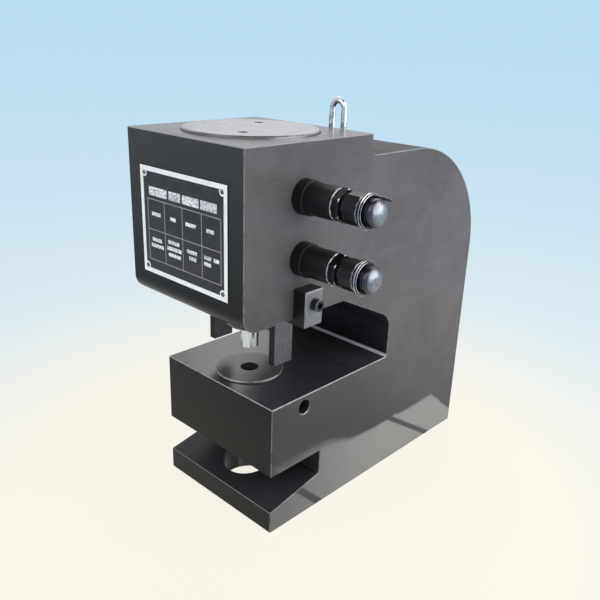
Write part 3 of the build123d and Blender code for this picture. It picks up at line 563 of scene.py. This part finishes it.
class PUNCH_OT_couplers(bpy.types.Operator):
    """Gives both hydraulic couplers their black oxide, plating and seals."""

    bl_idname = "punch.couplers"
    bl_label = "Couplers"

    def execute(self, context):
        for which in ("upper", "lower"):
            centre = centre_line(which + "_port_adapter")
            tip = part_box(which + "_dust_cap")[1].x / MM
            # Black oxide, dull where it is dry, glossy where it is oiled, satin where hands turn it; the
            # oiled and the satin ones have edges lightened partly as wear and partly by painted glints
            dull = black_oxide(which + "_dull_oxide", ("0d0d0f", "1b1a1f"), 0.42, 0.05, centre)
            glossy = black_oxide(which + "_oiled_oxide", ("0b0b0e", "18171d"), 0.22, 0.15, centre, 0.6)
            sleeve = black_oxide(which + "_satin_oxide", ("0a0a0d", "15141a"), 0.36, 0.05, centre, 0.5)
            # Zinc plating, gone grey: soft mirror with dark spots
            zinc = bright_plating(which + "_zinc", "63656d", 0.24, "3a3c44")
            # Where the cap's neck and its dome begin, counted back from its tip
            marks = (tip - 10.6, tip - 5.3)
            looks = {
                "port_washer": dull, "port_adapter": dull, "lock_ring": glossy, "coupler_body": glossy,
                "coupler_sleeve": sleeve, "sleeve_clip": zinc, "valve_poppet": zinc, "poppet_spring": zinc,
                "dust_cap": satin_cap(which + "_satin_cap", centre, marks),
                "cap_seal": nitrile_rubber(which + "_nitrile"), "cap_loop": zinc,
            }
            for node, material in looks.items():
                finish(which + "_" + node, material)
        return {"FINISHED"}


class PUNCH_OT_nameplate(bpy.types.Operator):
    """Builds the riveted nameplate: white border with lobes, dark field, table lines and plain print."""

    bl_idname = "punch.nameplate"
    bl_label = "Nameplate"

    def execute(self, context):
        size = context.scene.punch_nameplate
        low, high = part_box("nameplate")
        width, height = high.x - low.x, high.z - low.z
        layer = size.print_height
        base = high.y - low.y - 3 * layer
        body = bmesh.new()

        def slab(x0, x1, z0, z1, level, depth, slot, bevel=0.0):
            """Flat box on the plate; x and z are shares of its width and of its height from the top."""
            made = bmesh.ops.create_cube(body, size=1.0)["verts"]
            centre = (low.x + width * (x0 + x1) / 2, high.y - level - depth / 2,
                      high.z - height * (z0 + z1) / 2)
            bmesh.ops.scale(body, vec=(width * (x1 - x0), depth, height * (z1 - z0)), verts=made)
            bmesh.ops.translate(body, vec=centre, verts=made)
            faces = {face for vert in made for face in vert.link_faces}
            for face in faces:
                face.material_index = slot
            if bevel:
                edges = list({edge for face in faces for edge in face.edges})
                bmesh.ops.bevel(body, geom=edges, offset=bevel, segments=2, profile=0.5, affect="EDGES",
                                material=-1)

        def lobe(x, z):
            """White round field about a rivet; x and z are its centre, as for slab."""
            turned = Matrix.Translation(
                (low.x + width * x, high.y - base - layer * 0.75, high.z - height * z)
            ) @ Matrix.Rotation(math.pi / 2, 4, "X")
            made = bmesh.ops.create_cone(body, cap_ends=True, segments=40, radius1=size.corner,
                                         radius2=size.corner, depth=1.5 * layer, matrix=turned)["verts"]
            for face in {face for vert in made for face in vert.link_faces}:
                face.material_index = 1

        slab(0, 1, 0, 1, 0, base, 0, 0.2 * MM)
        # The border stops a hair short of the plate's rounded edge
        near, far = 0.002, 0.998
        bx, bz = size.border / width, size.border / height
        for x0, x1, z0, z1 in ((near, bx, near, far), (1 - bx, far, near, far),
                               (bx, 1 - bx, near, bz), (bx, 1 - bx, 1 - bz, far)):
            slab(x0, x1, z0, z1, base, layer, 1)
        for x in (size.inset / width, 1 - size.inset / width):
            for z in (size.inset / height, 1 - size.inset / height):
                lobe(x, z)
        # The table: lines between its fields, as shares of the plate's width and of its height from the top
        columns = (0.083, 0.289, 0.502, 0.722, 0.930)
        rows = (0.294, 0.575, 0.862)
        half_x, half_z = size.line / 2 / width, size.line / 2 / height
        for x in columns:
            slab(x - half_x, x + half_x, rows[0] - half_z, rows[-1] + half_z, base, layer, 2)
        for z in rows:
            slab(columns[0], columns[-1], z - half_z, z + half_z, base, 1.5 * layer, 2)
        # Heading, and one to three lines in each field, each with its middle height
        for x0, x1 in ((0.105, 0.325), (0.348, 0.485), (0.507, 0.695), (0.713, 0.89)):
            slab(x0, x1, 0.180, 0.258, base, layer, 3)
        half_line = 0.017
        for x0, x1, z in (
            (0.130, 0.240, 0.425), (0.360, 0.425, 0.425), (0.540, 0.660, 0.425), (0.775, 0.860, 0.425),
            (0.125, 0.245, 0.665), (0.110, 0.265, 0.722), (0.325, 0.460, 0.640), (0.310, 0.485, 0.699),
            (0.325, 0.475, 0.758), (0.550, 0.665, 0.665), (0.575, 0.655, 0.722), (0.745, 0.825, 0.665),
            (0.850, 0.910, 0.665), (0.745, 0.820, 0.722),
        ):
            slab(x0, x1, z - half_line, z + half_line, base, layer, 4)
        mesh = bpy.data.meshes.new("printed_nameplate")
        bmesh.ops.recalc_face_normals(body, faces=body.faces)
        body.to_mesh(mesh)
        body.free()
        # The order of these is the slot that each slab and lobe names
        for material in (
            printed_enamel("black_enamel", size.field, "343034", 0.34),
            printed_enamel("white_enamel", size.white, "ececf0", 0.38),
            printed_enamel("grid_enamel", size.grid, "8a8488", 0.4),
            print_strokes("heading_print", size.white, "4e4a50", 0.9),
            print_strokes("field_print", size.white, "5e5960", 0.7),
        ):
            mesh.materials.append(material)
        plate = bpy.data.objects.new("printed_nameplate", mesh)
        context.scene.collection.objects.link(plate)
        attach(plate, "machine")
        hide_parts("nameplate")
        # Drive rivets of bare steel, dulled by handling
        finish("nameplate_rivets", bright_plating("rivet_steel", "7c7c82", 0.34, "4a4a50"))
        return {"FINISHED"}


class PUNCH_OT_stage(bpy.types.Operator):
    """Makes the floor, the studio, the lamps and the camera."""

    bl_idname = "punch.stage"
    bl_label = "Floor, lamps and camera"

    def execute(self, context):
        stage = context.scene.punch_stage
        scene = context.scene
        self.floor(scene, stage)
        self.studio(scene, stage)
        self.lamps(scene, stage)
        self.camera(scene, stage)
        scene.view_settings.view_transform = "Standard"
        return {"FINISHED"}

    def camera(self, scene, stage):
        """Camera at the photograph's place, with its angles as azimuth, elevation and roll."""
        camera = bpy.data.objects.new("camera", bpy.data.cameras.new("camera"))
        scene.collection.objects.link(camera)
        camera.data.sensor_width = 36.0
        camera.data.lens = stage.lens
        camera.data.clip_end = 200.0
        camera.location = (0.4755, -0.43374, 0.46096)
        azimuth, elevation, roll = (math.radians(v) for v in (43.162, 20.831, 2.013))
        back = Vector((math.sin(azimuth) * math.cos(elevation), -math.cos(azimuth) * math.cos(elevation),
                       math.sin(elevation)))
        right = Vector((math.cos(azimuth), math.sin(azimuth), 0))
        up = back.cross(right)
        right, up = (right * math.cos(roll) + up * math.sin(roll),
                     up * math.cos(roll) - right * math.sin(roll))
        camera.rotation_euler = Matrix((right, up, back)).transposed().to_euler()
        scene.camera = camera

    def seen(self, tree):
        """Share that is 1 for what the camera, metal and glass see, and 0 for the light on the object."""
        path = add(tree, "LightPath").node.outputs
        shown = add(tree, "Math", {0: path["Is Camera Ray"], 1: path["Is Glossy Ray"]}, operation="MAXIMUM")
        return add(tree, "Math", {0: shown, 1: path["Is Transmission Ray"]}, operation="MAXIMUM")

    def ramp(self, tree, value, stops):
        """Colours between stops, each a position and an sRGB hex value."""
        made = add(tree, "ValToRGB", {0: value})
        elements = made.node.color_ramp.elements
        for index, (position, colour) in enumerate(stops):
            stop = elements[index] if index < 2 else elements.new(position)
            stop.position = position
            stop.color = linear(colour)
        return made

    def floor(self, scene, stage):
        """Wide matt floor, plain to the camera and in metal, which keeps the machine's shadow."""
        mesh = bpy.data.meshes.new("floor")
        body = bmesh.new()
        bmesh.ops.create_circle(body, cap_ends=True, segments=64, radius=80.0)
        body.to_mesh(mesh)
        body.free()
        floor = bpy.data.objects.new("floor", mesh)
        scene.collection.objects.link(floor)
        material, tree, shader = new_material("pale_floor")
        # The colour goes from cream to pale blue with the distance from the machine
        at = add(tree, "TexCoord", output="Object")
        away = add(tree, "VectorMath", {0: at, 1: (0.02, 0.04, 0.0)}, "Value", operation="DISTANCE")
        near = add(tree, "Math", {0: 0.3, 1: away}, operation="DIVIDE")
        colour = self.ramp(tree, near, (
            (0.0, stage.far), (0.12, "c4e1f3"), (0.28, "d2e6f0"), (0.46, stage.middle), (0.68, "eef1ed"),
            (1.0, stage.near)))
        shader.inputs["Roughness"].default_value = 0.8
        shader.inputs["Specular IOR Level"].default_value = 0.1
        tree.links.new(colour, shader.inputs["Base Color"])
        # Most of what is seen is the plain colour, and the rest keeps the machine's shadow near it
        plainly = add(tree, "MapRange", {0: near, 1: 0.10, 2: 0.5, 3: 1.0, 4: 0.9})
        share = add(tree, "Math", {0: self.seen(tree), 1: plainly}, operation="MULTIPLY")
        plain = add(tree, "Emission", {"Color": colour, "Strength": 1.0})
        mixed = add(tree, "MixShader", {0: share, 1: shader.outputs[0], 2: plain})
        output = next(n for n in tree.nodes if n.type == "OUTPUT_MATERIAL")
        tree.links.new(mixed, output.inputs[0])
        mesh.materials.append(material)

    def studio(self, scene, stage):
        """Surroundings: a pale blue backdrop, pale walls and a darker ceiling in metal, weak even light."""
        world = bpy.data.worlds.new("studio")
        world.use_nodes = True
        tree = world.node_tree
        tree.nodes.clear()
        output = tree.nodes.new("ShaderNodeOutputWorld")
        seen = self.seen(tree)
        height = add(tree, "SeparateXYZ", {0: add(tree, "TexCoord", output="Generated")}, 2)
        walls = self.ramp(tree, height, (
            (0.0, stage.far), (0.055, stage.far), (0.10, stage.studio), (0.58, stage.studio),
            (0.85, stage.ceiling)))
        backdrop = self.ramp(tree, height, ((0.06, stage.far), (0.6, "dceef8")))
        shown = add(tree, "LightPath", output="Is Camera Ray")
        walls = add(tree, "Mix", {0: shown, 6: walls, 7: backdrop}, 2, data_type="RGBA")
        colour = add(tree, "Mix", {0: seen, 6: linear(stage.studio), 7: walls}, 2, data_type="RGBA")
        strength = add(tree, "Math", {0: seen, 1: 1.0 - stage.ambient, 2: stage.ambient},
                       operation="MULTIPLY_ADD")
        tree.links.new(add(tree, "Background", {"Color": colour, "Strength": strength}), output.inputs[0])
        scene.world = world

    def lamps(self, scene, stage):
        """Three large square lamps, each with its power, side length and place, turned to the machine."""
        middle = Vector((0.0, 0.08, 0.2))
        for name, power, size, spot in (
            ("side_lamp", stage.key, 2.6, (1.65, 0.75, 1.10)),
            ("top_lamp", stage.top, 2.0, (-0.9, 1.5, 2.0)),
            ("front_lamp", stage.fill, 2.6, (-0.1, -2.0, 2.2)),
        ):
            data = bpy.data.lights.new(name, "AREA")
            data.shape = "SQUARE"
            data.size = size
            data.energy = power
            lamp = bpy.data.objects.new(name, data)
            lamp.location = spot
            lamp.rotation_euler = (Vector(spot) - middle).to_track_quat("Z", "Y").to_euler()
            scene.collection.objects.link(lamp)


class PUNCH_PT_panel(bpy.types.Panel):
    """Lists the machine's pieces and the stage."""

    bl_idname = "PUNCH_PT_panel"
    bl_label = "Punching machine"
    bl_space_type = "VIEW_3D"
    bl_region_type = "UI"
    bl_category = "Punching machine"

    def draw(self, context):
        scene = context.scene
        for group in (scene.punch_steel, scene.punch_nameplate, scene.punch_stage):
            box = self.layout.box()
            for name in group.bl_rna.properties.keys():
                if name not in ("rna_type", "name"):
                    box.prop(group, name)
        for operator in OPERATORS:
            self.layout.operator(operator.bl_idname)


OPERATORS = (PUNCH_OT_steel, PUNCH_OT_eye, PUNCH_OT_couplers, PUNCH_OT_nameplate, PUNCH_OT_stage)
GROUPS = {"punch_steel": SteelFinish, "punch_nameplate": NameplateSizes, "punch_stage": StageSettings}


def register():
    for group in GROUPS.values():
        bpy.utils.register_class(group)
    for operator in OPERATORS:
        bpy.utils.register_class(operator)
    bpy.utils.register_class(PUNCH_PT_panel)
    for name, group in GROUPS.items():
        setattr(bpy.types.Scene, name, bpy.props.PointerProperty(type=group))


def unregister():
    for name in GROUPS:
        delattr(bpy.types.Scene, name)
    bpy.utils.unregister_class(PUNCH_PT_panel)
    for operator in reversed(OPERATORS):
        bpy.utils.unregister_class(operator)
    for group in reversed(GROUPS.values()):
        bpy.utils.unregister_class(group)


def main():
    register()
    bpy.ops.punch.steel()
    bpy.ops.punch.eye()
    bpy.ops.punch.couplers()
    bpy.ops.punch.nameplate()
    bpy.ops.punch.stage()


if __name__ == "__main__":
    main()
